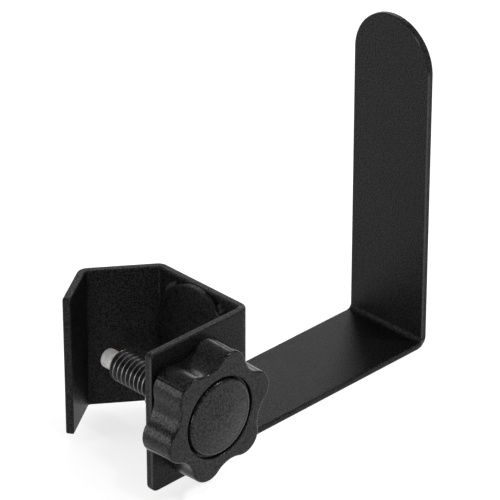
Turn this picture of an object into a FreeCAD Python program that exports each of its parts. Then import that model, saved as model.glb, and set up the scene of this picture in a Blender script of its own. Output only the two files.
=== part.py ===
import FreeCAD, Part
import math
import os
import Sketcher

# Clamp-on headphone hook. Millimetres.
# Origin: middle of the arm's top face. +X runs along the arm, from the clamp to the upright plate.
# +Y points away from the knob, along the clamp screw. +Z is up.

SIZES = {
    # Clamp bracket: sheet steel with its powder coat. Legs are outside lengths, corner to corner.
    # The back leg is as long as the hook's tab needs, so it is worked out below.
    "sheet_thickness": 2.0,
    "clamp_height": 37.0,
    "front_leg": 32.0,
    "slope_leg": 19.9,
    "lip_leg": 15.2,
    "slope_bend": 53.0,
    "lip_bend": 69.5,
    "sheet_bend": 0.8,
    "end_corner": 1.0,
    # Hook strip, and how it sits on the clamp.
    "strip_thickness": 1.6,
    "strip_width": 24.6,
    "tab_side_clearance": 0.4,
    "tab_bend": 0.3,
    "plate_bend": 1.4,
    "arm_span": 63.0,
    "plate_height": 85.5,
    # Weld beads on the tab's shoulders.
    "bead_size": 1.3,
    "bead_start": 28.0,
    "bead_sweep": 30.0,
    # Clamp screw: 5/16-18 UNC, hex head, right-hand thread.
    "screw_offset": 19.5,
    "screw_height": 19.6,
    "screw_diameter": 7.9,
    "screw_end": 24.2,
    "hole_clearance": 0.35,
    "head_flats": 12.7,
    "head_height": 5.2,
    # Weld nut on the inner face of the front wall.
    "nut_flats": 12.7,
    "nut_height": 6.5,
    "thread_clearance": 0.05,
    # Nylon tip.
    "tip_diameter": 4.8,
    "tip_length": 4.3,
    "tip_chamfer": 0.5,
    "spigot_diameter": 3.2,
    "spigot_length": 5.0,
    "spigot_clearance": 0.05,
    # Star knob and its cap.
    "knob_gap": 0.9,
    "knob_floor": 2.0,
    "head_gap": 0.2,
    "valley_radius": 13.5,
    "lobe_rise": 3.1,
    "lobe_round": 5.0,
    "lobe_turn": 11.6,
    "rim_round": 0.8,
    "core_diameter": 5.0,
    "core_wall": 1.5,
    "core_floor": 1.9,
    "face_land": 2.4,
    "cap_groove": 0.8,
    "cap_edge": 1.0,
    "cap_dome": 1.1,
    "cap_lip": 1.0,
    "plug_depth": 0.5,
}

LOBES = 6

doc = FreeCAD.newDocument("headphone_hook")
sizes = doc.addObject("Spreadsheet::Sheet", "sizes")
for row, (alias, number) in enumerate(SIZES.items(), start=1):
    sizes.set("A%d" % row, alias)
    sizes.set("B%d" % row, str(number))
    sizes.setAlias("B%d" % row, alias)

# Sizes and places that follow from the ones above.
PLACES = {
    "bend_outside": "sheet_bend + sheet_thickness",
    "strip_inset": "bend_outside + tab_side_clearance",
    "back_leg": "strip_inset + strip_width + tab_side_clearance + bend_outside * tan(slope_bend / 2 * 1 deg)",
    "arm_gap": "tab_bend",
    "corner_x": "-arm_span / 2",
    "corner_y": "-strip_width / 2 - strip_inset",
    "wall_inside_x": "corner_x - sheet_thickness",
    "clamp_top": "arm_gap + clamp_height",
    "screw_x": "corner_x - screw_offset",
    "screw_z": "arm_gap + screw_height",
    "wall_inside_y": "corner_y + sheet_thickness",
    "wall_hole": "screw_diameter + 2 * hole_clearance",
    "knob_depth": "knob_floor + head_height + head_gap + plug_depth + cap_edge",
    "knob_back": "corner_y - knob_gap",
    "knob_face": "knob_back - knob_depth",
    "head_seat": "knob_back - knob_floor",
    "lobe_radius": "valley_radius + lobe_rise",
    "lobe_ring": "lobe_radius - lobe_round",
    "core_ring": "lobe_radius - core_wall - core_diameter / 2",
    "core_depth": "knob_depth - cap_edge - core_floor",
    "cap_diameter": "2 * (valley_radius - rim_round - face_land - cap_groove)",
    "plug_diameter": "cap_diameter - 2 * cap_lip",
}
for row, (alias, formula) in enumerate(PLACES.items(), start=len(SIZES) + 2):
    sizes.set("A%d" % row, alias)
    sizes.set("B%d" % row, "=" + formula)
    sizes.setAlias("B%d" % row, alias)
doc.recompute()


def named(text):
    """Write each sheet name in a formula with the sheet in front of it."""
    names = sorted(list(SIZES) + list(PLACES), key=len, reverse=True)
    for name in names:
        text = text.replace(name, "@%d@" % names.index(name))
    for index, name in enumerate(names):
        text = text.replace("@%d@" % index, "sizes." + name)
    return text


def value(formula):
    result = sizes.evalExpression(named(formula))
    return float(getattr(result, "Value", result))


def bind(thing, **formulas):
    """Bind properties to formulas over the sheet. Underscores in a name stand for dots."""
    for prop, formula in formulas.items():
        thing.setExpression(prop.replace("_", "."), named(formula))


def new_body(label):
    body = doc.addObject("PartDesign::Body", label)
    body.Label = label
    return body


def new_sketch(body, label, plane, **offsets):
    """Sketch on one of the body's own origin planes, moved by bound offsets x, y, z."""
    sketch = body.newObject("Sketcher::SketchObject", label)
    origin_plane = [f for f in body.Origin.OriginFeatures if f.Role == plane][0]
    sketch.AttachmentSupport = [(origin_plane, "")]
    sketch.MapMode = "FlatFace"
    for axis, formula in offsets.items():
        sketch.setExpression("AttachmentOffset.Base." + axis, named(formula))
    doc.recompute()
    return sketch


def constrain(sketch, formula, kind, *where):
    """Add a driving constraint and bind it to a formula."""
    number = sketch.addConstraint(Sketcher.Constraint(kind, *where, value(formula)))
    sketch.setExpression("Constraints[%d]" % number, named(formula))


def place_point(sketch, geometry, point, x, y):
    constrain(sketch, x, "DistanceX", -1, 1, geometry, point)
    constrain(sketch, y, "DistanceY", -1, 1, geometry, point)


def bent_line(sketch, start, legs, radii):
    """Draw straight legs joined by left-turning tangent arcs. A leg is (length, heading)."""
    point = FreeCAD.Vector(value(start[0]), value(start[1]), 0)
    last = None
    for index, (length, heading) in enumerate(legs):
        angle = math.radians(value(heading))
        if index:
            turn_from = math.radians(value(legs[index - 1][1]))
            radius = value(radii[index - 1])
            inward = FreeCAD.Vector(-math.sin(turn_from), math.cos(turn_from), 0)
            circle = Part.Circle(point + inward * radius, FreeCAD.Vector(0, 0, 1), radius)
            quarter = math.pi / 2
            arc = sketch.addGeometry(Part.ArcOfCircle(circle, turn_from - quarter, angle - quarter))
            sketch.addConstraint(Sketcher.Constraint("Tangent", last, 2, arc, 1))
            constrain(sketch, radii[index - 1], "Radius", arc)
            point = sketch.getPoint(arc, 2)
            last = arc
        ahead = FreeCAD.Vector(math.cos(angle), math.sin(angle), 0)
        end = point + ahead * value(length)
        line = sketch.addGeometry(Part.LineSegment(point, end))
        if index:
            sketch.addConstraint(Sketcher.Constraint("Tangent", last, 2, line, 1))
        else:
            place_point(sketch, line, 1, *start)
        constrain(sketch, length, "Distance", line)
        degrees = "(%s) * 1 deg" % heading
        number = sketch.addConstraint(Sketcher.Constraint("Angle", line, angle))
        sketch.setExpression("Constraints[%d]" % number, named(degrees))
        point = end
        last = line
    doc.recompute()


def rectangle(sketch, x, y, width, height):
    """Draw a rectangle from its low corner, bound to formulas."""
    low = FreeCAD.Vector(value(x), value(y), 0)
    high = low + FreeCAD.Vector(value(width), value(height), 0)
    corners = [low, FreeCAD.Vector(high.x, low.y, 0), high, FreeCAD.Vector(low.x, high.y, 0)]
    sides = [sketch.addGeometry(Part.LineSegment(corners[i], corners[(i + 1) % 4])) for i in range(4)]
    for i in range(4):
        sketch.addConstraint(Sketcher.Constraint("Coincident", sides[i], 2, sides[(i + 1) % 4], 1))
        sketch.addConstraint(Sketcher.Constraint("Vertical" if i % 2 else "Horizontal", sides[i]))
    place_point(sketch, sides[0], 1, x, y)
    constrain(sketch, width, "DistanceX", sides[0], 1, sides[0], 2)
    constrain(sketch, height, "DistanceY", sides[1], 1, sides[1], 2)
    doc.recompute()


def sweep(body, label, profile, path):
    pipe = body.newObject("PartDesign::AdditivePipe", label)
    pipe.Profile = profile
    pipe.Spine = (path, [])
    profile.Visibility = False
    doc.recompute()
    return pipe


def rod(label, diameter, length, y):
    """Cylinder on the screw's axis, from y towards +Y."""
    cylinder = doc.addObject("Part::Cylinder", label)
    cylinder.Placement.Rotation = FreeCAD.Rotation(FreeCAD.Vector(1, 0, 0), -90)
    bind(cylinder, Radius="(%s) / 2" % diameter, Height=length)
    bind(cylinder, Placement_Base_x="screw_x", Placement_Base_y=y, Placement_Base_z="screw_z")
    return cylinder


def hexagon(label, flats, length, y):
    """Hexagonal bar on the screw's axis, from y towards +Y."""
    prism = doc.addObject("Part::Prism", label)
    prism.Polygon = 6
    prism.Placement.Rotation = FreeCAD.Rotation(FreeCAD.Vector(1, 0, 0), -90)
    bind(prism, Circumradius="(%s) / 2 / cos(30 deg)" % flats, Height=length)
    bind(prism, Placement_Base_x="screw_x", Placement_Base_y=y, Placement_Base_z="screw_z")
    return prism


def fuse(label, shapes):
    doc.recompute()
    result = doc.addObject("Part::MultiFuse", label)
    result.Shapes = shapes
    return result


def cut(label, base, tool):
    result = doc.addObject("Part::Cut", label)
    result.Base = base
    result.Tool = tool
    return result


def edges_through(shape, test):
    """Names of the edges whose middle point passes a test."""
    names = []
    for index, edge in enumerate(shape.Edges, start=1):
        middle = edge.valueAt((edge.FirstParameter + edge.LastParameter) / 2)
        if test(middle, edge):
            names.append("Edge%d" % index)
    return names


def make_clamp():
    """Four flat walls with three bends between them, and the screw's hole in the front wall."""
    body = new_body("clamp_bracket")
    path = new_sketch(body, "clamp_path", "XY_Plane", z="arm_gap")
    legs = [
        ("front_leg - bend_outside", "0"),
        ("back_leg - bend_outside * (1 + tan(slope_bend / 2 * 1 deg))", "90"),
        ("slope_leg - bend_outside * (tan(slope_bend / 2 * 1 deg) + tan(lip_bend / 2 * 1 deg))",
         "90 + slope_bend"),
        ("lip_leg - bend_outside * tan(lip_bend / 2 * 1 deg)", "90 + slope_bend + lip_bend"),
    ]
    start = ("corner_x - front_leg", "corner_y + sheet_thickness / 2")
    bent_line(path, start, legs, ["sheet_bend + sheet_thickness / 2"] * 3)
    section = new_sketch(body, "clamp_section", "YZ_Plane", z="corner_x - front_leg")
    rectangle(section, "corner_y", "arm_gap", "sheet_thickness", "clamp_height")
    sweep(body, "clamp_walls", section, path)

    hole = new_sketch(body, "clamp_hole", "XZ_Plane", z="-corner_y - sheet_thickness * 2")
    center = FreeCAD.Vector(value("screw_x"), value("screw_z"), 0)
    circle = hole.addGeometry(Part.Circle(center, FreeCAD.Vector(0, 0, 1), value("wall_hole / 2")))
    place_point(hole, circle, 3, "screw_x", "screw_z")
    constrain(hole, "wall_hole", "Diameter", circle)
    doc.recompute()
    pocket = body.newObject("PartDesign::Pocket", "clamp_hole_cut")
    pocket.Profile = hole
    bind(pocket, Length="sheet_thickness * 4")
    pocket.Reversed = True
    doc.recompute()
    bare = body.Shape.copy()

    bottom = value("arm_gap")
    top = value("clamp_top")

    def is_end_corner(middle, edge):
        """An edge through the sheet's thickness at the top or bottom of a wall's free end."""
        at_level = min(abs(middle.z - bottom), abs(middle.z - top)) < 0.01
        across_sheet = abs(edge.Length - value("sheet_thickness")) < 0.01
        return at_level and across_sheet

    corners = body.newObject("PartDesign::Fillet", "clamp_corners")
    corners.Base = (pocket, edges_through(bare, is_end_corner))
    bind(corners, Radius="end_corner")
    doc.recompute()
    return body


def round_end(body, label, top, outward):
    """Cut the strip's end to a half circle. outward is True for the end on the +X side."""
    sketch = new_sketch(body, label, "YZ_Plane")
    up = value(top)
    radius = value("strip_width / 2")
    side = radius + 1
    points = [
        FreeCAD.Vector(radius, up - radius, 0),
        FreeCAD.Vector(side, up - radius, 0),
        FreeCAD.Vector(side, up + 1, 0),
        FreeCAD.Vector(-side, up + 1, 0),
        FreeCAD.Vector(-side, up - radius, 0),
        FreeCAD.Vector(-radius, up - radius, 0),
    ]
    lines = [sketch.addGeometry(Part.LineSegment(points[i], points[i + 1])) for i in range(5)]
    circle = Part.Circle(FreeCAD.Vector(0, up - radius, 0), FreeCAD.Vector(0, 0, 1), radius)
    arc = sketch.addGeometry(Part.ArcOfCircle(circle, 0, math.pi))
    for i in range(4):
        sketch.addConstraint(Sketcher.Constraint("Coincident", lines[i], 2, lines[i + 1], 1))
    sketch.addConstraint(Sketcher.Constraint("Coincident", lines[0], 1, arc, 1))
    sketch.addConstraint(Sketcher.Constraint("Coincident", lines[4], 2, arc, 2))
    for i in (0, 2, 4):
        sketch.addConstraint(Sketcher.Constraint("Horizontal", lines[i]))
    for i in (1, 3):
        sketch.addConstraint(Sketcher.Constraint("Vertical", lines[i]))
    place_point(sketch, arc, 3, "0", "%s - strip_width / 2" % top)
    constrain(sketch, "strip_width / 2", "Radius", arc)
    for end in (1, 2):
        sketch.addConstraint(Sketcher.Constraint("Horizontal", arc, 3, arc, end))
    constrain(sketch, "1", "Distance", lines[0])
    constrain(sketch, "1", "Distance", lines[4])
    constrain(sketch, "strip_width / 2 + 1", "Distance", lines[1])
    doc.recompute()
    pocket = body.newObject("PartDesign::Pocket", label + "_cut")
    pocket.Profile = sketch
    pocket.Type = "ThroughAll"
    pocket.Reversed = outward
    doc.recompute()


def make_strip():
    """One strip in three legs: the tab inside the clamp, the arm and the upright plate."""
    body = new_body("hook_strip")
    path = new_sketch(body, "strip_path", "XZ_Plane")
    legs = [
        ("clamp_top - tab_bend", "-90"),
        ("arm_span + sheet_thickness - tab_bend - plate_bend", "0"),
        ("plate_height - plate_bend", "90"),
    ]
    start = ("wall_inside_x - strip_thickness / 2", "clamp_top")
    radii = ["tab_bend + strip_thickness / 2", "plate_bend + strip_thickness / 2"]
    bent_line(path, start, legs, radii)
    section = new_sketch(body, "strip_section", "XY_Plane", z="clamp_top")
    rectangle(section, "wall_inside_x - strip_thickness", "-strip_width / 2", "strip_thickness",
              "strip_width")
    sweep(body, "strip_legs", section, path)
    round_end(body, "plate_top", "plate_height", True)
    round_end(body, "tab_top", "clamp_top", False)
    return body


def make_welds(clamp, strip):
    """A bead in the corner between the tab's round shoulder and the back wall, on each side."""
    beads = []
    for side, first in (("near", "180 - bead_start - bead_sweep"), ("far", "bead_start")):
        bead = doc.addObject("Part::Torus", "bead_" + side)
        bead.Placement.Rotation = FreeCAD.Rotation(FreeCAD.Vector(1, 1, 1), 120)
        bind(bead, Radius1="strip_width / 2", Radius2="bead_size")
        bind(bead, Angle3="bead_sweep * 1 deg")
        bind(bead, Placement_Base_x="wall_inside_x", Placement_Base_z="clamp_top - strip_width / 2")
        turn = FreeCAD.Rotation(FreeCAD.Vector(1, 0, 0), value(first))
        bead.Placement.Rotation = turn.multiply(bead.Placement.Rotation)
        beads.append(bead)
    both = fuse("bead_pair", beads)
    trimmed = cut("beads_off_tab", both, strip)
    welds = cut("tab_welds", trimmed, clamp)
    return welds


def make_nut():
    blank = hexagon("nut_blank", "nut_flats", "nut_height", "wall_inside_y")
    bore = rod("nut_bore", "screw_diameter + 2 * thread_clearance", "nut_height + 2", "wall_inside_y - 1")
    return cut("weld_nut", blank, bore)


def make_screw():
    """Hex head in the knob, shank through the wall and the nut, blind bore for the nylon tip."""
    head = hexagon("screw_head", "head_flats", "head_height", "head_seat - head_height")
    shank = rod("screw_shank", "screw_diameter", "corner_y + screw_end - head_seat", "head_seat")
    solid = fuse("screw_solid", [head, shank])
    bore = rod("screw_bore", "spigot_diameter + 2 * spigot_clearance", "spigot_length + 1",
               "corner_y + screw_end - spigot_length")
    return cut("clamp_screw", solid, bore)


def make_tip():
    """Round nylon tip with a chamfered end, on a spigot in the screw's bore."""
    tip = rod("tip_head", "tip_diameter", "tip_length", "corner_y + screw_end")
    spigot = rod("tip_spigot", "spigot_diameter", "spigot_length - spigot_clearance",
                 "corner_y + screw_end - spigot_length + spigot_clearance")
    solid = fuse("tip_solid", [tip, spigot])
    doc.recompute()
    end = value("corner_y + screw_end + tip_length")
    chamfer = doc.addObject("Part::Chamfer", "screw_tip")
    chamfer.Base = solid
    size = value("tip_chamfer")
    names = edges_through(solid.Shape, lambda middle, edge: abs(middle.y - end) < 0.01)
    chamfer.Edges = [(int(name[4:]), size, size) for name in names]
    return chamfer


def lobe_sector(sketch):
    """One lobe of the knob's outline, from one valley's middle to the next, closed at the centre."""
    half = math.pi / LOBES
    ring = value("lobe_ring")
    lobe = value("lobe_round")
    valley = value("valley_radius")
    # The valley's circle touches the lobe's circle, and its centre is on the ray between two lobes.
    inner = valley - lobe
    far = (ring ** 2 - inner ** 2) / (2 * (ring * math.cos(half) - inner))
    dip = far - valley
    normal = FreeCAD.Vector(0, 0, 1)
    bow = math.atan2(far * math.sin(half), far * math.cos(half) - ring)
    lobe_arc = Part.ArcOfCircle(Part.Circle(FreeCAD.Vector(ring, 0, 0), normal, lobe), -bow, bow)
    outline = [sketch.addGeometry(lobe_arc)]
    for sign in (1, -1):
        center = FreeCAD.Vector(far * math.cos(half), sign * far * math.sin(half), 0)
        ends = sorted([sign * (math.pi + half), sign * (math.pi + bow)])
        outline.append(sketch.addGeometry(Part.ArcOfCircle(Part.Circle(center, normal, dip), *ends)))
    corner = FreeCAD.Vector(valley * math.cos(half), valley * math.sin(half), 0)
    mirror = FreeCAD.Vector(corner.x, -corner.y, 0)
    origin = FreeCAD.Vector(0, 0, 0)
    spoke_up = sketch.addGeometry(Part.LineSegment(origin, corner))
    spoke_down = sketch.addGeometry(Part.LineSegment(origin, mirror))
    arc, up, down = outline
    sketch.addConstraint(Sketcher.Constraint("Coincident", spoke_up, 1, -1, 1))
    sketch.addConstraint(Sketcher.Constraint("Coincident", spoke_down, 1, -1, 1))
    sketch.addConstraint(Sketcher.Constraint("PointOnObject", arc, 3, -1))
    sketch.addConstraint(Sketcher.Constraint("Coincident", up, 1, spoke_up, 2))
    sketch.addConstraint(Sketcher.Constraint("Coincident", down, 2, spoke_down, 2))
    sketch.addConstraint(Sketcher.Constraint("PointOnObject", up, 3, spoke_up))
    sketch.addConstraint(Sketcher.Constraint("PointOnObject", down, 3, spoke_down))
    sketch.addConstraint(Sketcher.Constraint("Tangent", arc, 2, up, 2))
    sketch.addConstraint(Sketcher.Constraint("Tangent", arc, 1, down, 1))
    constrain(sketch, "lobe_ring", "DistanceX", -1, 1, arc, 3)
    constrain(sketch, "lobe_round", "Radius", arc)
    constrain(sketch, "valley_radius", "Distance", spoke_up)
    constrain(sketch, "valley_radius", "Distance", spoke_down)
    for spoke, sign in ((spoke_up, 1), (spoke_down, -1)):
        sketch.addConstraint(Sketcher.Constraint("Angle", spoke, sign * half))
    doc.recompute()


def make_knob():
    """Six-lobed body with a rounded rim, a hex pocket for the screw's head and a recess for the cap."""
    body = new_body("knob_blank")
    sketch = new_sketch(body, "knob_lobe", "XZ_Plane")
    lobe_sector(sketch)
    pad = body.newObject("PartDesign::Pad", "knob_pad")
    pad.Profile = sketch
    bind(pad, Length="knob_depth")
    doc.recompute()
    pattern = body.newObject("PartDesign::PolarPattern", "knob_lobes")
    pattern.Originals = [pad]
    pattern.Axis = (sketch, ["N_Axis"])
    pattern.Angle = 360
    pattern.Occurrences = LOBES
    body.Tip = pattern
    doc.recompute()
    rims = edges_through(body.Shape, lambda middle, edge: abs(middle.y + value("knob_depth")) < 0.01)
    rim = body.newObject("PartDesign::Fillet", "knob_rim")
    rim.Base = (pattern, rims)
    bind(rim, Radius="rim_round")
    body.Placement.Rotation = FreeCAD.Rotation(FreeCAD.Vector(0, 1, 0), -value("lobe_turn"))
    bind(body, Placement_Base_x="screw_x", Placement_Base_y="knob_back", Placement_Base_z="screw_z")

    hole = rod("knob_hole", "screw_diameter", "knob_floor + 2", "head_seat - 1")
    pocket = hexagon("knob_pocket", "head_flats", "knob_depth - knob_floor + 1", "knob_face - 1")
    recess = rod("knob_recess", "cap_diameter + 2 * cap_groove", "cap_edge + 1", "knob_face - 1")
    socket = rod("knob_socket", "plug_diameter", "cap_edge + plug_depth + 1", "knob_face - 1")
    tools = [hole, pocket, recess, socket]
    for index in range(LOBES):
        core = doc.addObject("Part::Cylinder", "knob_core_%d" % (index + 1))
        core.Placement.Rotation = FreeCAD.Rotation(FreeCAD.Vector(1, 0, 0), -90)
        angle = "(%d * 360 / %d + lobe_turn) * 1 deg" % (index, LOBES)
        bind(core, Radius="core_diameter / 2", Height="core_depth + 1")
        bind(core, Placement_Base_x="screw_x + core_ring * cos(%s)" % angle,
             Placement_Base_y="knob_back - core_depth",
             Placement_Base_z="screw_z + core_ring * sin(%s)" % angle)
        tools.append(core)
    return cut("knob_body", body, fuse("knob_cuts", tools))


def make_cap():
    """Disc with a domed face, and behind it a plug pressed into the knob's socket."""
    disc = rod("cap_disc", "cap_diameter", "cap_edge + cap_dome", "knob_face - cap_dome")
    ball = doc.addObject("Part::Sphere", "cap_ball")
    radius = "((cap_diameter / 2) ^ 2 + cap_dome ^ 2) / (2 * cap_dome)"
    bind(ball, Radius=radius)
    bind(ball, Placement_Base_x="screw_x", Placement_Base_y="knob_face - cap_dome + " + radius,
         Placement_Base_z="screw_z")
    plug = rod("cap_plug", "plug_diameter", "cap_edge + plug_depth", "knob_face")
    solid = fuse("cap_solid", [disc, plug])
    cap = doc.addObject("Part::MultiCommon", "knob_cap")
    cap.Shapes = [solid, ball]
    return cap


clamp_bracket = make_clamp()
hook_strip = make_strip()
pieces = {
    "clamp_bracket": clamp_bracket,
    "hook_strip": hook_strip,
    "tab_welds": make_welds(clamp_bracket, hook_strip),
    "weld_nut": make_nut(),
    "clamp_screw": make_screw(),
    "screw_tip": make_tip(),
    "knob_body": make_knob(),
    "knob_cap": make_cap(),
}
doc.recompute()

for item in doc.Objects:
    if "Invalid" in item.State or "Error" in item.State:
        raise RuntimeError("%s did not build: %s" % (item.Name, item.State))
os.makedirs("parts", exist_ok=True)
for node, piece in pieces.items():
    piece.Label = node
    if not piece.Shape.isValid() or piece.Shape.Volume <= 0:
        raise RuntimeError("%s is not a valid solid" % node)
    piece.Shape.exportStep("parts/%s.step" % node)
    print(node, round(piece.Shape.Volume, 1), len(piece.Shape.Solids))
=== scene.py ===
"""Looks of the clamp-on headphone hook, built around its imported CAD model.

Shapes are written in millimetres and turned into metres when a mesh is made.
+X runs along the arm from the clamp to the plate, +Y along the screw away from its knob, +Z is up.
"""

import math
import random

import bmesh
import bpy
from mathutils import Matrix, Vector


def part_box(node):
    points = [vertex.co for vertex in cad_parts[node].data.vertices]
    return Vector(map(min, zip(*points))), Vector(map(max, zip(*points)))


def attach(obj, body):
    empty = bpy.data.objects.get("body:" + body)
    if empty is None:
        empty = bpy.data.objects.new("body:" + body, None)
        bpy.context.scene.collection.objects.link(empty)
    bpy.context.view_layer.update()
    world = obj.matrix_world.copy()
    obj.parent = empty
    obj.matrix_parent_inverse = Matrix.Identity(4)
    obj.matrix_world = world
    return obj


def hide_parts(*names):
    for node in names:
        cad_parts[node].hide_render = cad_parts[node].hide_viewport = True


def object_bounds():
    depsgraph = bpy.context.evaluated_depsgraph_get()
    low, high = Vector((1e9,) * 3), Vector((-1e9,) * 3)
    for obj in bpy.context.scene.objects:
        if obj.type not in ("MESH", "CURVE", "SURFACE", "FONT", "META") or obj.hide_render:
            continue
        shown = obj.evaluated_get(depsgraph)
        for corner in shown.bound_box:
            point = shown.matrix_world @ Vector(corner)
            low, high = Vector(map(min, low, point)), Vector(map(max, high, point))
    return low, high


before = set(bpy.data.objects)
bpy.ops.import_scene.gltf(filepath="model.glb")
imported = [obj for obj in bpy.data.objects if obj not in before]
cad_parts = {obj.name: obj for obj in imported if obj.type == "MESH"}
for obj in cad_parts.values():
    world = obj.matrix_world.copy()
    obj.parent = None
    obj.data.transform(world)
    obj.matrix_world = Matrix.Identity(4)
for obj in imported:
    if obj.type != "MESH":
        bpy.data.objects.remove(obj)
cad_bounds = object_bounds()

MM = 0.001

# Clamp sheet. Legs are outside lengths, corner to corner. The corners are the radii of the low and
# the high corner, at the front wall's end and at the lip's end.
SHEET = 2.0
SHEET_BEND = 0.8
FRONT_LEG = 32.0
BACK_LEG = 29.6
SLOPE_LEG = 19.9
LIP_LEG = 15.2
SLOPE_BEND = 53.0
LIP_BEND = 69.5
SHEET_EDGE = 0.42
SHEET_CORNERS = ((2.0, 1.0), (0.5, 0.9))
WALL_HOLE = 8.6

# Hook strip.
STRIP = 1.6
TAB_BEND = 0.3
PLATE_BEND = 1.4
STRIP_EDGE = 0.38

# Screw: 5/16-18 thread with a 60 degree profile and flat crests and roots.
PITCH = 25.4 / 18
THREAD_MAJOR = 3.95
THREAD_DEPTH = 0.80
HEAD_FLATS = 12.7
HEAD_HEIGHT = 5.2
BORE = 1.65
BORE_DEPTH = 5.0

# Nylon tip.
TIP_RADIUS = 2.4
SPIGOT_RADIUS = 1.6

# Star knob.
LOBES = 6
LOBE_RADIUS = 16.6
VALLEY_RADIUS = 13.5
LOBE_ROUND = 5.0
LOBE_TURN = 11.6
KNOB_FLOOR = 2.0
CAP_RADIUS = 9.5
CAP_EDGE = 1.0
CAP_GROOVE = 0.8
PLUG_RADIUS = 8.5
PLUG_DEPTH = 0.5
CORE_RADIUS = 2.5
CORE_DEPTH = 6.0
CORE_RING = 12.6
SCREW_HOLE = 4.0
BACK_FLAT = 9.4
POCKET_RIM = 7.6
MOULD_LINE_TURN = 2.5


def box_mm(node):
    low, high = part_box(node)
    return low / MM, high / MM


CLAMP_LOW, CLAMP_HIGH = box_mm("clamp_bracket")
HOOK_LOW, HOOK_HIGH = box_mm("hook_strip")
SCREW_LOW, SCREW_HIGH = box_mm("clamp_screw")
TIP_LOW, TIP_HIGH = box_mm("screw_tip")
NUT_LOW, NUT_HIGH = box_mm("weld_nut")
KNOB_LOW, KNOB_HIGH = box_mm("knob_body")
CAP_LOW, CAP_HIGH = box_mm("knob_cap")
SCREW_X = (SCREW_LOW.x + SCREW_HIGH.x) / 2
SCREW_Z = (SCREW_LOW.z + SCREW_HIGH.z) / 2
WALL_INSIDE_X = CLAMP_HIGH.x - SHEET
KNOB_BACK = KNOB_HIGH.y
KNOB_FACE = KNOB_LOW.y
HEAD_SEAT = KNOB_BACK - KNOB_FLOOR
STRIP_WIDTH = HOOK_HIGH.y - HOOK_LOW.y


# ---------------------------------------------------------------- mesh tools

def add_object(name, mesh):
    """Put a bmesh into the scene as an object."""
    data = bpy.data.meshes.new(name)
    mesh.to_mesh(data)
    mesh.free()
    thing = bpy.data.objects.new(name, data)
    bpy.context.scene.collection.objects.link(thing)
    return thing


def to_metres(mesh):
    bmesh.ops.recalc_face_normals(mesh, faces=mesh.faces)
    bmesh.ops.scale(mesh, vec=(MM, MM, MM), verts=mesh.verts)


def finish_mesh(name, mesh, body, node):
    """Turn a bmesh in millimetres into a smooth object that rides a body and stands for a CAD node."""
    bmesh.ops.remove_doubles(mesh, verts=mesh.verts, dist=1e-5)
    to_metres(mesh)
    piece = add_object(name, mesh)
    piece.data.shade_smooth()
    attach(piece, body)
    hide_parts(node)
    return piece


def weighted(piece):
    """Keep wide flat faces flat in shade beside their rounded edges."""
    modifier = piece.modifiers.new("flat_faces", "WEIGHTED_NORMAL")
    modifier.weight = 80
    modifier.keep_sharp = True


class BentPath:
    """A flat strip's middle line, bent to the left by arcs between straight legs."""

    def __init__(self, start, heading, legs, bends, radii):
        self.parts = []
        self.length = 0.0
        point = Vector(start)
        angle = math.radians(heading)
        for index, leg in enumerate(legs):
            self.parts.append((self.length, leg, point.copy(), angle, 0.0))
            self.length += leg
            point += leg * Vector((math.cos(angle), math.sin(angle)))
            if index < len(bends):
                turn = math.radians(bends[index])
                radius = radii[index]
                self.parts.append((self.length, radius * turn, point.copy(), angle, 1 / radius))
                inward = Vector((-math.sin(angle), math.cos(angle)))
                centre = point + radius * inward
                angle += turn
                point = centre - radius * Vector((-math.sin(angle), math.cos(angle)))
                self.length += radius * turn

    def place(self, along, offset):
        """The point at a length along the middle line, moved to its left by offset."""
        for start, length, point, angle, curve in self.parts:
            if along <= start + length + 1e-9:
                break
        run = along - start
        if curve:
            inward = Vector((-math.sin(angle), math.cos(angle)))
            centre = point + inward / curve
            angle += run * curve
            inward = Vector((-math.sin(angle), math.cos(angle)))
            return centre - (1 / curve - offset) * inward
        forward = Vector((math.cos(angle), math.sin(angle)))
        left = Vector((-forward.y, forward.x))
        return point + run * forward + offset * left

    def stations(self, margin, arc_steps=14):
        """Lengths at which the sheet needs a row of vertices, leaving a margin at both ends."""
        marks = [margin[0]]
        for start, length, _, _, curve in self.parts:
            steps = arc_steps if curve else 4
            marks += [start + length * k / steps for k in range(steps + 1)]
        marks.append(self.length - margin[1])
        inside = sorted(m for m in marks if margin[0] - 1e-6 <= m <= self.length - margin[1] + 1e-6)
        kept = [inside[0]]
        for mark in inside[1:]:
            if mark - kept[-1] > 1e-4:
                kept.append(mark)
        return kept


def corner_arc(centre, radius, turn, steps):
    """A quarter round of the blank's edge, from the direction turn on, with outward directions."""
    arc = []
    for k in range(steps + 1):
        angle = math.radians(turn + 90 * k / steps)
        out = (math.cos(angle), math.sin(angle))
        arc.append(((centre[0] + radius * out[0], centre[1] + radius * out[1]), out))
    return arc


def blank_outline(path, width, corners, arc_steps):
    """The flat blank's edge: points (along, across) with their outward directions, end corners round.
    corners holds the radii of the low and high corner at the path's start, then at its end."""
    (start_low, start_high), (end_low, end_high) = corners
    end = path.length
    rows = path.stations((max(corners[0]), max(corners[1])))
    outline = [((s, 0.0), (0.0, -1.0)) for s in rows]
    outline += corner_arc((end - end_low, end_low), end_low, -90, arc_steps)
    outline += corner_arc((end - end_high, width - end_high), end_high, 0, arc_steps)
    outline += [((s, width), (0.0, 1.0)) for s in reversed(rows)]
    outline += corner_arc((start_high, width - start_high), start_high, 90, arc_steps)
    outline += corner_arc((start_low, start_low), start_low, 180, arc_steps)
    tidy = [outline[0]]
    for entry in outline[1:]:
        gap = math.dist(entry[0], tidy[-1][0])
        if gap > 1e-4 and math.dist(entry[0], tidy[0][0]) > 1e-4:
            tidy.append(entry)
    return tidy, rows


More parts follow.
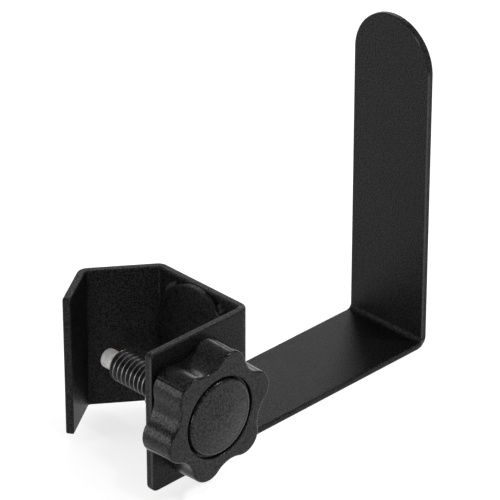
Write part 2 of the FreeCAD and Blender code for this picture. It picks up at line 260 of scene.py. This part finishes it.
def bent_sheet(path, width, thickness, corners, edge, spot, arc_steps=10, edge_steps=5):
    """Mesh of a bent sheet with rounded edges. spot turns (in-plane point, across) into a place."""
    outline, rows = blank_outline(path, width, corners, arc_steps)
    half = thickness / 2
    support = 1.35 * edge
    profile = [(support, half)]
    for k in range(edge_steps + 1):
        angle = math.pi / 2 * k / edge_steps
        profile.append((edge * (1 - math.sin(angle)), half - edge * (1 - math.cos(angle))))
    profile += [(inset, -offset) for inset, offset in reversed(profile)]
    mesh = bmesh.new()
    loops = []
    for inset, offset in profile:
        loop = []
        for (along, across), out in outline:
            along_in = along - inset * out[0]
            across_in = across - inset * out[1]
            loop.append(mesh.verts.new(spot(path.place(along_in, offset), across_in)))
        loops.append(loop)
    count = len(outline)
    for lower, upper in zip(loops, loops[1:]):
        for i in range(count):
            j = (i + 1) % count
            mesh.faces.new((lower[i], lower[j], upper[j], upper[i]))
    side = len(rows)
    far = [i for i in range(count) if abs(outline[i][1][1] - 1) < 1e-6
           and any(abs(outline[i][0][0] - s) < 1e-6 for s in rows)]
    far = sorted(far, key=lambda i: outline[i][0][0])[:side]
    for loop in (loops[0], loops[-1]):
        for k in range(side - 1):
            mesh.faces.new((loop[k], loop[k + 1], loop[far[k + 1]], loop[far[k]]))
        mesh.faces.new([loop[i] for i in range(side - 1, far[-1] + 1)])
        mesh.faces.new([loop[i % count] for i in range(far[0], count + 1)])
    return mesh


def turned(stations, segments, close_start=True, close_end=True):
    """Mesh around the screw's axis. A station is (y, radius), where radius may be a function
    of the angle and y, and the rings are joined in order."""
    mesh = bmesh.new()
    rings = []
    for y, radius in stations:
        ring = []
        for k in range(segments):
            angle = 2 * math.pi * k / segments
            r = radius(angle, y) if callable(radius) else radius
            ring.append(mesh.verts.new((SCREW_X + r * math.cos(angle), y, SCREW_Z + r * math.sin(angle))))
        rings.append(ring)
    for lower, upper in zip(rings, rings[1:]):
        for k in range(segments):
            j = (k + 1) % segments
            mesh.faces.new((lower[k], lower[j], upper[j], upper[k]))
    for ring, wanted in ((rings[0], close_start), (rings[-1], close_end)):
        if wanted:
            mesh.faces.new(ring)
    return mesh


def cutter(name, x, z, low, high, radius, sides=48):
    """A closed bar along Y, for cutting with a Boolean."""
    mesh = bmesh.new()
    rings = []
    for y in (low, high):
        angles = [2 * math.pi * k / sides for k in range(sides)]
        rings.append([mesh.verts.new((x + radius * math.cos(a), y, z + radius * math.sin(a)))
                      for a in angles])
    for k in range(sides):
        j = (k + 1) % sides
        mesh.faces.new((rings[0][k], rings[0][j], rings[1][j], rings[1][k]))
    mesh.faces.new(rings[0])
    mesh.faces.new(rings[1])
    to_metres(mesh)
    return add_object(name, mesh)


def cut_away(piece, tools):
    """Subtract each tool from a piece and remove the tool."""
    for tool in tools:
        modifier = piece.modifiers.new("cut", "BOOLEAN")
        modifier.operation = "DIFFERENCE"
        modifier.solver = "EXACT"
        modifier.object = tool
        with bpy.context.temp_override(object=piece, active_object=piece):
            bpy.ops.object.modifier_apply(modifier=modifier.name)
        bpy.data.objects.remove(tool)


# ---------------------------------------------------------------- pieces

def make_clamp():
    """V-jaw clamp: one sheet bent three times, with the screw's hole in the front wall."""
    outside = SHEET_BEND + SHEET
    slope = math.tan(math.radians(SLOPE_BEND / 2))
    lip = math.tan(math.radians(LIP_BEND / 2))
    legs = [
        FRONT_LEG - outside,
        BACK_LEG - outside * (1 + slope),
        SLOPE_LEG - outside * (slope + lip),
        LIP_LEG - outside * lip,
    ]
    start = (CLAMP_LOW.x, CLAMP_LOW.y + SHEET / 2)
    path = BentPath(start, 0, legs, [90, SLOPE_BEND, LIP_BEND], [SHEET_BEND + SHEET / 2] * 3)

    def spot(point, across):
        return (point.x, point.y, CLAMP_LOW.z + across)

    height = CLAMP_HIGH.z - CLAMP_LOW.z
    mesh = bent_sheet(path, height, SHEET, SHEET_CORNERS, SHEET_EDGE, spot)
    piece = finish_mesh("clamp_sheet", mesh, "root", "clamp_bracket")
    hole = cutter("hole", SCREW_X, SCREW_Z, CLAMP_LOW.y - 2, CLAMP_LOW.y + SHEET + 2, WALL_HOLE / 2)
    cut_away(piece, [hole])
    weighted(piece)
    return piece


def make_hook():
    """Hook strip: rounded tab, arm and rounded upright plate."""
    tab = HOOK_LOW.x + STRIP / 2
    tab_radius = TAB_BEND + STRIP / 2
    plate_radius = PLATE_BEND + STRIP / 2
    arm = HOOK_HIGH.x - HOOK_LOW.x - STRIP
    legs = [
        CLAMP_HIGH.z - TAB_BEND,
        arm - tab_radius - plate_radius,
        HOOK_HIGH.z - PLATE_BEND,
    ]
    path = BentPath((tab, CLAMP_HIGH.z), -90, legs, [90, 90], [tab_radius, plate_radius])

    def spot(point, across):
        return (point.x, across - STRIP_WIDTH / 2, point.y)

    half = STRIP_WIDTH / 2
    mesh = bent_sheet(path, STRIP_WIDTH, STRIP, ((half, half), (half, half)), STRIP_EDGE, spot,
                      arc_steps=24)
    piece = finish_mesh("hook_band", mesh, "root", "hook_strip")
    weighted(piece)
    return piece


def make_welds():
    """Two short, lumpy beads in the corners between the tab's shoulders and the back wall."""
    rng = random.Random(7)
    radius = STRIP_WIDTH / 2
    middle = CLAMP_HIGH.z - radius
    mesh = bmesh.new()
    for first, last in ((math.radians(32), math.radians(56)), (math.radians(124), math.radians(150))):
        steps = 22
        sides = 12
        rings = []
        for k in range(steps + 1):
            share = k / steps
            angle = first + (last - first) * share
            swell = math.sqrt(max(0.0, 1 - (2 * share - 1) ** 2))
            ripple = 0.10 * math.sin(share * 7 * math.pi) + 0.05 * rng.uniform(-1, 1)
            size = 0.15 + 1.0 * swell * (1 + ripple)
            out = Vector((0, math.cos(angle), math.sin(angle)))
            centre = Vector((WALL_INSIDE_X, 0, middle)) + radius * out
            ring = []
            for j in range(sides):
                turn = 2 * math.pi * j / sides
                spot = centre + size * (math.cos(turn) * out + math.sin(turn) * Vector((-1, 0, 0)))
                ring.append(mesh.verts.new(spot))
            rings.append(ring)
        for lower, upper in zip(rings, rings[1:]):
            for j in range(sides):
                n = (j + 1) % sides
                mesh.faces.new((lower[j], lower[n], upper[n], upper[j]))
        mesh.faces.new(rings[0])
        mesh.faces.new(rings[-1])
    return finish_mesh("weld_beads", mesh, "root", "tab_welds")


def hexagon(flats):
    """Radius of a hexagon whose corners point along X, for an angle."""
    def radius(angle, _):
        turn = (angle % (math.pi / 3)) - math.pi / 6
        return flats / 2 / math.cos(turn)
    return radius


def chamfered(shape, end_y, start_radius, slope):
    """Limit an outline to a cone that opens away from end_y."""
    def radius(angle, y):
        return min(shape(angle, y), start_radius + slope * abs(y - end_y))
    return radius


def make_nut():
    """Hex nut with chamfered corners, a bored middle and three small weld tacks."""
    flats = HEAD_FLATS
    bore = THREAD_MAJOR + 0.05
    low, high = NUT_LOW.y, NUT_HIGH.y
    shape = hexagon(flats)
    top = chamfered(shape, high, flats / 2 * 0.95, 1.8)
    chamfer = 1.4
    steps = 10
    stations = [(low + 0.9, bore), (low + 0.01, bore + 0.5)]
    stations += [(low + 0.01, flats / 2 * 0.9), (low + 0.01, shape)]
    stations += [(low + 0.1, shape), (high - chamfer, shape)]
    stations += [(high - chamfer + chamfer * k / steps, top) for k in range(1, steps + 1)]
    stations += [(high, flats / 2 * 0.9), (high, bore + 0.5), (high - 0.5, bore), (low + 0.9, bore)]
    mesh = turned(stations, 96, False, False)
    for k in range(3):
        angle = math.radians(90 + 120 * k)
        place = Vector((SCREW_X + 6.5 * math.cos(angle), low + 0.25, SCREW_Z + 6.5 * math.sin(angle)))
        lump = bmesh.ops.create_icosphere(mesh, subdivisions=3, radius=1.0)
        stretch = Matrix.Diagonal((1.5, 0.75, 0.9)).to_4x4()
        spin = Matrix.Rotation(-angle + math.pi / 2, 4, "Y")
        bmesh.ops.transform(mesh, matrix=Matrix.Translation(place) @ spin @ stretch, verts=lump["verts"])
    piece = finish_mesh("nut", mesh, "root", "weld_nut")
    weighted(piece)
    return piece


def thread_radius(end_y):
    """Radius of the right-hand thread at an angle and a place along Y, chamfered at its end."""
    crest = 0.125
    flank = (1 - 2 * crest) / 2

    def radius(angle, y):
        phase = ((y - end_y) / PITCH - angle / (2 * math.pi)) % 1.0
        if phase < crest:
            depth = 0.0
        elif phase < crest + flank:
            depth = (phase - crest) / flank
        elif phase < 2 * crest + flank:
            depth = 1.0
        else:
            depth = (1 - phase) / flank
        full = THREAD_MAJOR - THREAD_DEPTH * depth
        return min(full, THREAD_MAJOR - THREAD_DEPTH - 0.15 + 1.0 * (end_y - y))
    return radius


def make_screw():
    """Hex-head screw: head, helical thread to the end and a blind bore for the nylon tip."""
    end = SCREW_HIGH.y
    seat = HEAD_SEAT
    head_face = seat - HEAD_HEIGHT
    shape = hexagon(HEAD_FLATS)
    top = chamfered(shape, head_face, HEAD_FLATS / 2 * 0.95, 1.8)
    thread = thread_radius(end)
    stations = [(head_face, 1.0), (head_face, HEAD_FLATS / 2 * 0.9)]
    stations += [(head_face + 1.3 * k / 8, top) for k in range(9)]
    stations += [(seat - 0.01, shape), (seat - 0.01, HEAD_FLATS / 2 * 0.9), (seat - 0.01, THREAD_MAJOR)]
    per_pitch = 20
    start = seat + 0.4
    count = int((end - start) / PITCH * per_pitch)
    step = (end - start) / count
    stations += [(start + step * k, thread) for k in range(count + 1)]
    stations += [(end, BORE + 0.2), (end - 0.2, BORE), (end - BORE_DEPTH, BORE)]
    mesh = turned(stations, 72)
    return finish_mesh("screw", mesh, "screw", "clamp_screw")


def make_tip():
    """Nylon tip with a slightly domed, softly chamfered end on its spigot."""
    start = SCREW_HIGH.y
    end = TIP_HIGH.y
    stations = [(TIP_LOW.y, 0.6), (TIP_LOW.y, SPIGOT_RADIUS - 0.2), (TIP_LOW.y + 0.2, SPIGOT_RADIUS)]
    stations += [(start - 0.02, SPIGOT_RADIUS), (start + 0.02, SPIGOT_RADIUS + 0.1)]
    stations += [(start + 0.02, TIP_RADIUS - 0.15), (start + 0.15, TIP_RADIUS)]
    stations += [(start + 1.2, TIP_RADIUS), (end - 0.85, TIP_RADIUS)]
    steps = 8
    for k in range(steps + 1):
        angle = math.pi / 2 * k / steps
        stations.append((end - 0.7 + 0.55 * math.sin(angle), TIP_RADIUS - 0.55 * (1 - math.cos(angle))))
    stations += [(end - 0.06, TIP_RADIUS * 0.55), (end - 0.01, TIP_RADIUS * 0.3), (end, TIP_RADIUS * 0.1)]
    mesh = turned(stations, 64)
    return finish_mesh("nylon_tip", mesh, "tip", "screw_tip")


def lobed(inset):
    """Radius of the knob's wavy outline: lobe arcs and valley arcs that meet at a tangent."""
    half = math.pi / LOBES
    ring = LOBE_RADIUS - LOBE_ROUND
    inner = VALLEY_RADIUS - LOBE_ROUND
    far = (ring ** 2 - inner ** 2) / (2 * (ring * math.cos(half) - inner))
    lobe = LOBE_ROUND - inset
    dip = far - VALLEY_RADIUS + inset
    bow = math.atan2(far * math.sin(half), far * math.cos(half) - ring)
    meet = math.atan2(lobe * math.sin(bow), ring + lobe * math.cos(bow))

    def radius(angle, _):
        turn = (angle - math.radians(LOBE_TURN) + half) % (2 * half) - half
        if abs(turn) <= meet:
            return ring * math.cos(turn) + math.sqrt(lobe ** 2 - (ring * math.sin(turn)) ** 2)
        turn = half - abs(turn)
        return far * math.cos(turn) - math.sqrt(max(0.0, dip ** 2 - (far * math.sin(turn)) ** 2))
    return radius


def make_knob():
    """Star knob: drafted lobed sides, rounded front rim and a recess for the cap."""
    rim = 0.55
    back_edge = 0.35
    draft = 0.25
    face = KNOB_FACE
    back = KNOB_BACK
    stations = [(back, SCREW_HOLE), (back, BACK_FLAT), (back, lobed(back_edge * 1.6))]
    steps = 6
    for k in range(steps + 1):
        angle = math.pi / 2 * k / steps
        inset = back_edge * (1 - math.sin(angle))
        stations.append((back - back_edge * (1 - math.cos(angle)), lobed(inset)))
    side_steps = 8
    for k in range(1, side_steps):
        share = k / side_steps
        y = back - back_edge + (face + rim - back + back_edge) * share
        stations.append((y, lobed(draft * share)))
    for k in range(steps + 1):
        angle = math.pi / 2 * k / steps
        inset = draft + rim * (1 - math.cos(angle))
        stations.append((face + rim * (1 - math.sin(angle)), lobed(inset)))
    stations.append((face, lobed(draft + rim * 1.4)))
    wall = CAP_RADIUS + CAP_GROOVE
    stations += [(face, wall + 0.75), (face, wall + 0.4)]
    lip = 0.22
    for k in range(steps + 1):
        angle = math.pi / 2 * k / steps
        stations.append((face + lip * (1 - math.cos(angle)), wall + lip * (1 - math.sin(angle))))
    floor = face + CAP_EDGE
    socket = floor + PLUG_DEPTH
    stations += [(floor - 0.1, wall), (floor, wall - 0.1)]
    stations += [(floor, PLUG_RADIUS + 0.3), (floor, PLUG_RADIUS)]
    stations += [(socket, PLUG_RADIUS), (socket, POCKET_RIM)]
    pocket = hexagon(HEAD_FLATS)
    stations += [(socket, pocket), (HEAD_SEAT, pocket)]
    stations += [(HEAD_SEAT, SCREW_HOLE), (back, SCREW_HOLE)]
    mesh = turned(stations, 288, False, False)
    piece = finish_mesh("star_knob", mesh, "screw", "knob_body")
    tools = []
    for index in range(LOBES):
        angle = math.radians(LOBE_TURN + index * 360 / LOBES)
        x = SCREW_X + CORE_RING * math.cos(angle)
        z = SCREW_Z + CORE_RING * math.sin(angle)
        tools.append(cutter("core", x, z, back - CORE_DEPTH, back + 1, CORE_RADIUS, 32))
    cut_away(piece, tools)
    weighted(piece)
    return piece


def make_cap():
    """Shallow dome with a rounded rim, on a plug in the knob's socket."""
    face = KNOB_FACE
    rim = 1.2
    rim_y = face + 0.2
    rim_rise = 0.45
    steps = 14
    floor = face + CAP_EDGE
    plug_end = floor + PLUG_DEPTH
    stations = [(plug_end, 1.0), (plug_end, PLUG_RADIUS - 0.1)]
    stations += [(floor, PLUG_RADIUS - 0.1), (floor, CAP_RADIUS - 0.1)]
    stations += [(floor - 0.1, CAP_RADIUS)]
    for k in range(steps + 1):
        angle = math.pi / 2 * k / steps
        stations.append((rim_y - rim * math.sin(angle) * rim_rise, CAP_RADIUS - rim * (1 - math.cos(angle))))
    edge_y = rim_y - rim * rim_rise
    edge_r = CAP_RADIUS - rim
    top = CAP_LOW.y
    dome_steps = 15
    for k in range(1, dome_steps):
        r = edge_r * (1 - k / dome_steps)
        stations.append((top + (edge_y - top) * (r / edge_r) ** 2, r))
    mesh = turned(stations, 128)
    return finish_mesh("cap", mesh, "screw", "knob_cap")


# ---------------------------------------------------------------- materials

class Nodes:
    """A small helper that adds shader nodes to a material."""

    def __init__(self, name):
        self.material = bpy.data.materials.new(name)
        self.material.use_nodes = True
        self.tree = self.material.node_tree
        self.shader = self.tree.nodes["Principled BSDF"]
        self.place = self.add("ShaderNodeTexCoord").outputs["Object"]

    def add(self, kind, **settings):
        node = self.tree.nodes.new(kind)
        for key, value in settings.items():
            setattr(node, key, value)
        return node

    def link(self, source, target):
        self.tree.links.new(source, target)

    def noise(self, size_mm, detail=2.0, roughness=0.5, distortion=0.0):
        node = self.add("ShaderNodeTexNoise")
        node.inputs["Scale"].default_value = 1 / (size_mm * MM)
        node.inputs["Detail"].default_value = detail
        node.inputs["Roughness"].default_value = roughness
        node.inputs["Distortion"].default_value = distortion
        self.link(self.place, node.inputs["Vector"])
        return node.outputs["Fac"]

    def ramp(self, source, stops):
        node = self.add("ShaderNodeValToRGB")
        elements = node.color_ramp.elements
        while len(elements) < len(stops):
            elements.new(0.5)
        for element, (position, colour) in zip(elements, stops):
            element.position = position
            element.color = (*colour, 1)
        self.link(source, node.inputs["Fac"])
        return node.outputs["Color"]

    def mix(self, first, second, blend):
        """Blend two colours in full."""
        node = self.add("ShaderNodeMix", data_type="RGBA", blend_type=blend)
        node.inputs[0].default_value = 1.0
        self.link(first, node.inputs[6])
        self.link(second, node.inputs[7])
        return node.outputs[2]

    def maths(self, operation, *values):
        """A sum on numbers or on other nodes' outputs."""
        node = self.add("ShaderNodeMath", operation=operation)
        for socket, value in zip(node.inputs, values):
            if hasattr(value, "is_linked"):
                self.link(value, socket)
            else:
                socket.default_value = value
        return node.outputs[0]

    def span(self, source, low, high, low_out, high_out):
        node = self.add("ShaderNodeMapRange")
        node.inputs["From Min"].default_value = low
        node.inputs["From Max"].default_value = high
        node.inputs["To Min"].default_value = low_out
        node.inputs["To Max"].default_value = high_out
        self.link(source, node.inputs["Value"])
        return node.outputs["Result"]

    def bump(self, heights):
        """Chain bumps. Each is (height source, strength, distance in mm)."""
        last = None
        for source, strength, distance in heights:
            node = self.add("ShaderNodeBump")
            node.inputs["Strength"].default_value = strength
            node.inputs["Distance"].default_value = distance * MM
            self.link(source, node.inputs["Height"])
            if last:
                self.link(last, node.inputs["Normal"])
            last = node.outputs["Normal"]
        self.link(last, self.shader.inputs["Normal"])

    def set(self, **values):
        for name, value in values.items():
            self.shader.inputs[name.replace("_", " ")].default_value = value


def grey(level):
    return (level, level, level * 1.02)


def powder_coat():
    """Satin black powder coat: sandy grain, faint orange peel, lighter specks and a painted highlight on the
    convex edges, where rounded arrises catch the light.
    """
    n = Nodes("powder_coat")
    grain = n.noise(0.42, 3.0, 0.7)
    peel = n.noise(1.6, 2.0, 0.5)
    cloud = n.noise(9.0, 3.0, 0.5)
    speck = n.noise(0.25, 1.0, 0.5)
    base = n.ramp(grain, [(0.40, grey(0.0015)), (0.50, grey(0.004)), (0.60, grey(0.0075))])
    broad = n.ramp(cloud, [(0.3, grey(0.8)), (0.7, grey(1.15))])
    tone = n.mix(base, broad, "MULTIPLY")
    light = n.ramp(speck, [(0.70, grey(0.0)), (0.78, grey(0.05))])
    flecked = n.mix(tone, light, "ADD")
    # Painted highlight: convex edges (high pointiness) get a lighter base colour, standing in for the light
    # that rounded arrises catch.
    edge = n.ramp(n.add("ShaderNodeNewGeometry").outputs["Pointiness"],
                  [(0.52, grey(0.0)), (0.60, grey(0.035))])
    colour = n.mix(flecked, edge, "ADD")
    n.link(colour, n.shader.inputs["Base Color"])
    n.link(n.span(grain, 0.40, 0.60, 0.24, 0.44), n.shader.inputs["Roughness"])
    n.link(n.span(grain, 0.40, 0.60, 0.24, 0.72), n.shader.inputs["Specular IOR Level"])
    n.set(IOR=1.205)
    n.bump([(peel, 0.4, 0.10), (grain, 1.0, 0.15)])
    return n.material


def from_axis(n):
    """Place measured from the screw's axis, in the plane across it, in metres."""
    moved = n.add("ShaderNodeVectorMath", operation="SUBTRACT")
    n.link(n.place, moved.inputs[0])
    moved.inputs[1].default_value = (SCREW_X * MM, 0, SCREW_Z * MM)
    flat = n.add("ShaderNodeVectorMath", operation="MULTIPLY")
    n.link(moved.outputs[0], flat.inputs[0])
    flat.inputs[1].default_value = (1, 0, 1)
    return flat.outputs[0]


def radius_from_axis(n):
    length = n.add("ShaderNodeVectorMath", operation="LENGTH")
    n.link(from_axis(n), length.inputs[0])
    return length.outputs["Value"]


def crest_line(n, half_width):
    """1 on a thin mould line along each lobe's crest, 0 elsewhere, on the knob's sides only."""
    split = n.add("ShaderNodeSeparateXYZ")
    n.link(from_axis(n), split.inputs[0])
    angle = n.maths("ARCTAN2", split.outputs["Z"], split.outputs["X"])
    pitch = 2 * math.pi / LOBES
    turned_by = n.maths("SUBTRACT", angle, math.radians(LOBE_TURN + MOULD_LINE_TURN))
    off_crest = n.maths("PINGPONG", turned_by, pitch / 2)
    arc = n.maths("MULTIPLY", off_crest, LOBE_RADIUS * MM)
    line = n.span(arc, half_width * 0.4 * MM, half_width * MM, 1.0, 0.0)
    facing = n.add("ShaderNodeSeparateXYZ")
    n.link(n.add("ShaderNodeNewGeometry").outputs["Normal"], facing.inputs[0])
    side = n.maths("LESS_THAN", n.maths("ABSOLUTE", facing.outputs["Y"]), 0.3)
    return n.maths("MULTIPLY", line, side)


def knob_plastic():
    """Satin black moulded plastic: fine spark-eroded grain, faint flow marks, mould lines on the lobes."""
    n = Nodes("knob_plastic")
    grain = n.noise(0.45, 3.0, 0.7)
    flow = n.noise(5.0, 3.0, 0.5, 1.2)
    line = crest_line(n, 0.25)
    plain = n.maths("SUBTRACT", 1.0, line)
    base = n.ramp(grain, [(0.40, grey(0.001)), (0.60, grey(0.010))])
    broad = n.ramp(flow, [(0.3, grey(0.85)), (0.7, grey(1.15))])
    tone = n.mix(base, broad, "MULTIPLY")
    n.link(tone, n.shader.inputs["Base Color"])
    n.link(n.span(flow, 0.3, 0.7, 0.20, 0.28), n.shader.inputs["Roughness"])
    shine = n.span(grain, 0.40, 0.60, 0.28, 0.72)
    groove = n.span(plain, 0.0, 1.0, 0.2, 1.0)
    n.link(n.maths("MULTIPLY", shine, groove), n.shader.inputs["Specular IOR Level"])
    n.set(IOR=1.275)
    n.bump([(flow, 0.05, 0.12), (grain, 0.4, 0.06), (plain, 1.0, 0.12)])
    return n.material


def cap_plastic():
    """Satin black plastic with an even, fine grain."""
    n = Nodes("cap_plastic")
    grain = n.noise(0.45, 3.0, 0.7)
    cloud = n.noise(6.0, 2.0, 0.5)
    base = n.ramp(grain, [(0.40, grey(0.001)), (0.60, grey(0.012))])
    n.link(base, n.shader.inputs["Base Color"])
    n.link(n.span(cloud, 0.3, 0.7, 0.18, 0.20), n.shader.inputs["Roughness"])
    n.link(n.span(grain, 0.40, 0.60, 0.28, 0.72), n.shader.inputs["Specular IOR Level"])
    n.set(IOR=1.30)
    n.bump([(grain, 0.35, 0.05)])
    return n.material


def black_steel():
    """Black-oxide steel: dark roots, crests lighter as rubbed wear and as a painted highlight, faint turning
    marks.
    """
    n = Nodes("black_steel")
    stain = n.noise(0.9, 3.0, 0.6)
    fine = n.noise(0.15, 2.0, 0.6)
    base = n.ramp(stain, [(0.3, grey(0.020)), (0.7, grey(0.045))])
    # Crests near the major radius get a lighter base colour: partly rubbed wear, partly a painted highlight
    # for the gleam the thread crests catch.
    crest = n.span(radius_from_axis(n), (THREAD_MAJOR - 0.22) * MM, THREAD_MAJOR * MM, 0.0, 1.0)
    crest_wear_and_highlight = n.ramp(crest, [(0.0, grey(0.0)), (0.8, grey(0.0)), (1.0, grey(0.16))])
    colour = n.mix(base, crest_wear_and_highlight, "ADD")
    n.link(colour, n.shader.inputs["Base Color"])
    n.link(n.span(stain, 0.3, 0.7, 0.26, 0.40), n.shader.inputs["Roughness"])
    n.set(Metallic=0.85)
    n.bump([(fine, 0.2, 0.015)])
    return n.material


def nylon():
    """Off-white nylon: faintly mottled, soft and a little translucent."""
    n = Nodes("nylon")
    mottle = n.noise(1.1, 3.0, 0.6)
    fine = n.noise(0.2, 2.0, 0.5)
    base = n.ramp(mottle, [(0.3, (0.27, 0.265, 0.255)), (0.7, (0.42, 0.415, 0.40))])
    n.link(base, n.shader.inputs["Base Color"])
    n.link(n.span(mottle, 0.3, 0.7, 0.42, 0.55), n.shader.inputs["Roughness"])
    n.set(IOR=1.53, Subsurface_Weight=0.12, Subsurface_Scale=0.0012)
    n.bump([(mottle, 0.15, 0.06), (fine, 0.25, 0.02)])
    return n.material


def paint(piece, material):
    piece.data.materials.clear()
    piece.data.materials.append(material)


# ---------------------------------------------------------------- studio

CAMERA_TARGET = Vector((-0.01632, 0.0, 0.04022))
CAMERA_AZIMUTH = -44.767
CAMERA_ELEVATION = 29.178
CAMERA_DISTANCE = 0.85085
CAMERA_LENS = 258.94


def make_floor():
    size = 3.0
    mesh = bmesh.new()
    bmesh.ops.create_grid(mesh, x_segments=8, y_segments=8, size=size)
    floor = add_object("floor", mesh)
    floor.location.z = cad_bounds[0][2] - 0.0001
    n = Nodes("floor")
    tone = n.ramp(n.noise(400.0), [(0.3, (0.50, 0.50, 0.50)), (0.7, (0.54, 0.54, 0.54))])
    n.link(tone, n.shader.inputs["Base Color"])
    n.set(Roughness=0.9, Emission_Strength=0.7)
    n.shader.inputs["Emission Color"].default_value = (1, 1, 1, 1)
    paint(floor, n.material)


def aim(thing, target):
    way = target - thing.location
    thing.rotation_euler = way.to_track_quat("-Z", "Y").to_euler()


def make_light(name, place, size, power):
    data = bpy.data.lights.new(name, "AREA")
    data.shape = "SQUARE"
    data.size = size
    data.energy = power
    light = bpy.data.objects.new(name, data)
    light.location = place
    bpy.context.scene.collection.objects.link(light)
    aim(light, CAMERA_TARGET)


def make_backdrop():
    """An even white room that gets darker on the side where the photographer stands."""
    world = bpy.data.worlds.new("studio")
    world.use_nodes = True
    nodes = world.node_tree.nodes
    links = world.node_tree.links
    backdrop = nodes["Background"]
    backdrop.inputs["Color"].default_value = (1, 1, 1, 1)
    compass = nodes.new("ShaderNodeTexCoord")
    facing = nodes.new("ShaderNodeVectorMath")
    facing.operation = "DOT_PRODUCT"
    facing.inputs[1].default_value = (-0.60, -0.60, 0.52)
    links.new(compass.outputs["Generated"], facing.inputs[0])
    level = nodes.new("ShaderNodeMapRange")
    level.inputs["From Min"].default_value = 0.2
    level.inputs["From Max"].default_value = 0.9
    level.inputs["To Min"].default_value = 0.60
    level.inputs["To Max"].default_value = 0.26
    links.new(facing.outputs["Value"], level.inputs["Value"])
    links.new(level.outputs["Result"], backdrop.inputs["Strength"])
    bpy.context.scene.world = world


def make_studio():
    make_backdrop()
    make_light("overhead", (0.47, -0.60, 0.72), 0.12, 5.0)
    make_light("left", (-0.95, -0.40, 0.12), 0.16, 4.0)
    make_light("left_back", (-0.85, 0.65, 0.30), 0.6, 4.0)
    make_light("behind", (0.85, 0.75, 0.45), 0.4, 2.2)
    make_light("front_top", (-0.17, -0.58, 0.94), 0.08, 1.2)
    bpy.context.scene.view_settings.view_transform = "Standard"


def make_camera():
    data = bpy.data.cameras.new("camera")
    data.lens = CAMERA_LENS
    data.sensor_width = 36
    data.clip_start = 0.01
    camera = bpy.data.objects.new("camera", data)
    turn = math.radians(CAMERA_AZIMUTH)
    rise = math.radians(CAMERA_ELEVATION)
    back = Vector((math.sin(turn) * math.cos(rise), -math.cos(turn) * math.cos(rise), math.sin(rise)))
    camera.location = CAMERA_TARGET + CAMERA_DISTANCE * back
    bpy.context.scene.collection.objects.link(camera)
    aim(camera, CAMERA_TARGET)
    bpy.context.scene.camera = camera


coat = powder_coat()
steel = black_steel()
paint(make_clamp(), coat)
paint(make_hook(), coat)
paint(make_welds(), coat)
paint(make_nut(), steel)
paint(make_screw(), steel)
paint(make_tip(), nylon())
paint(make_knob(), knob_plastic())
paint(make_cap(), cap_plastic())
make_floor()
make_studio()
make_camera()
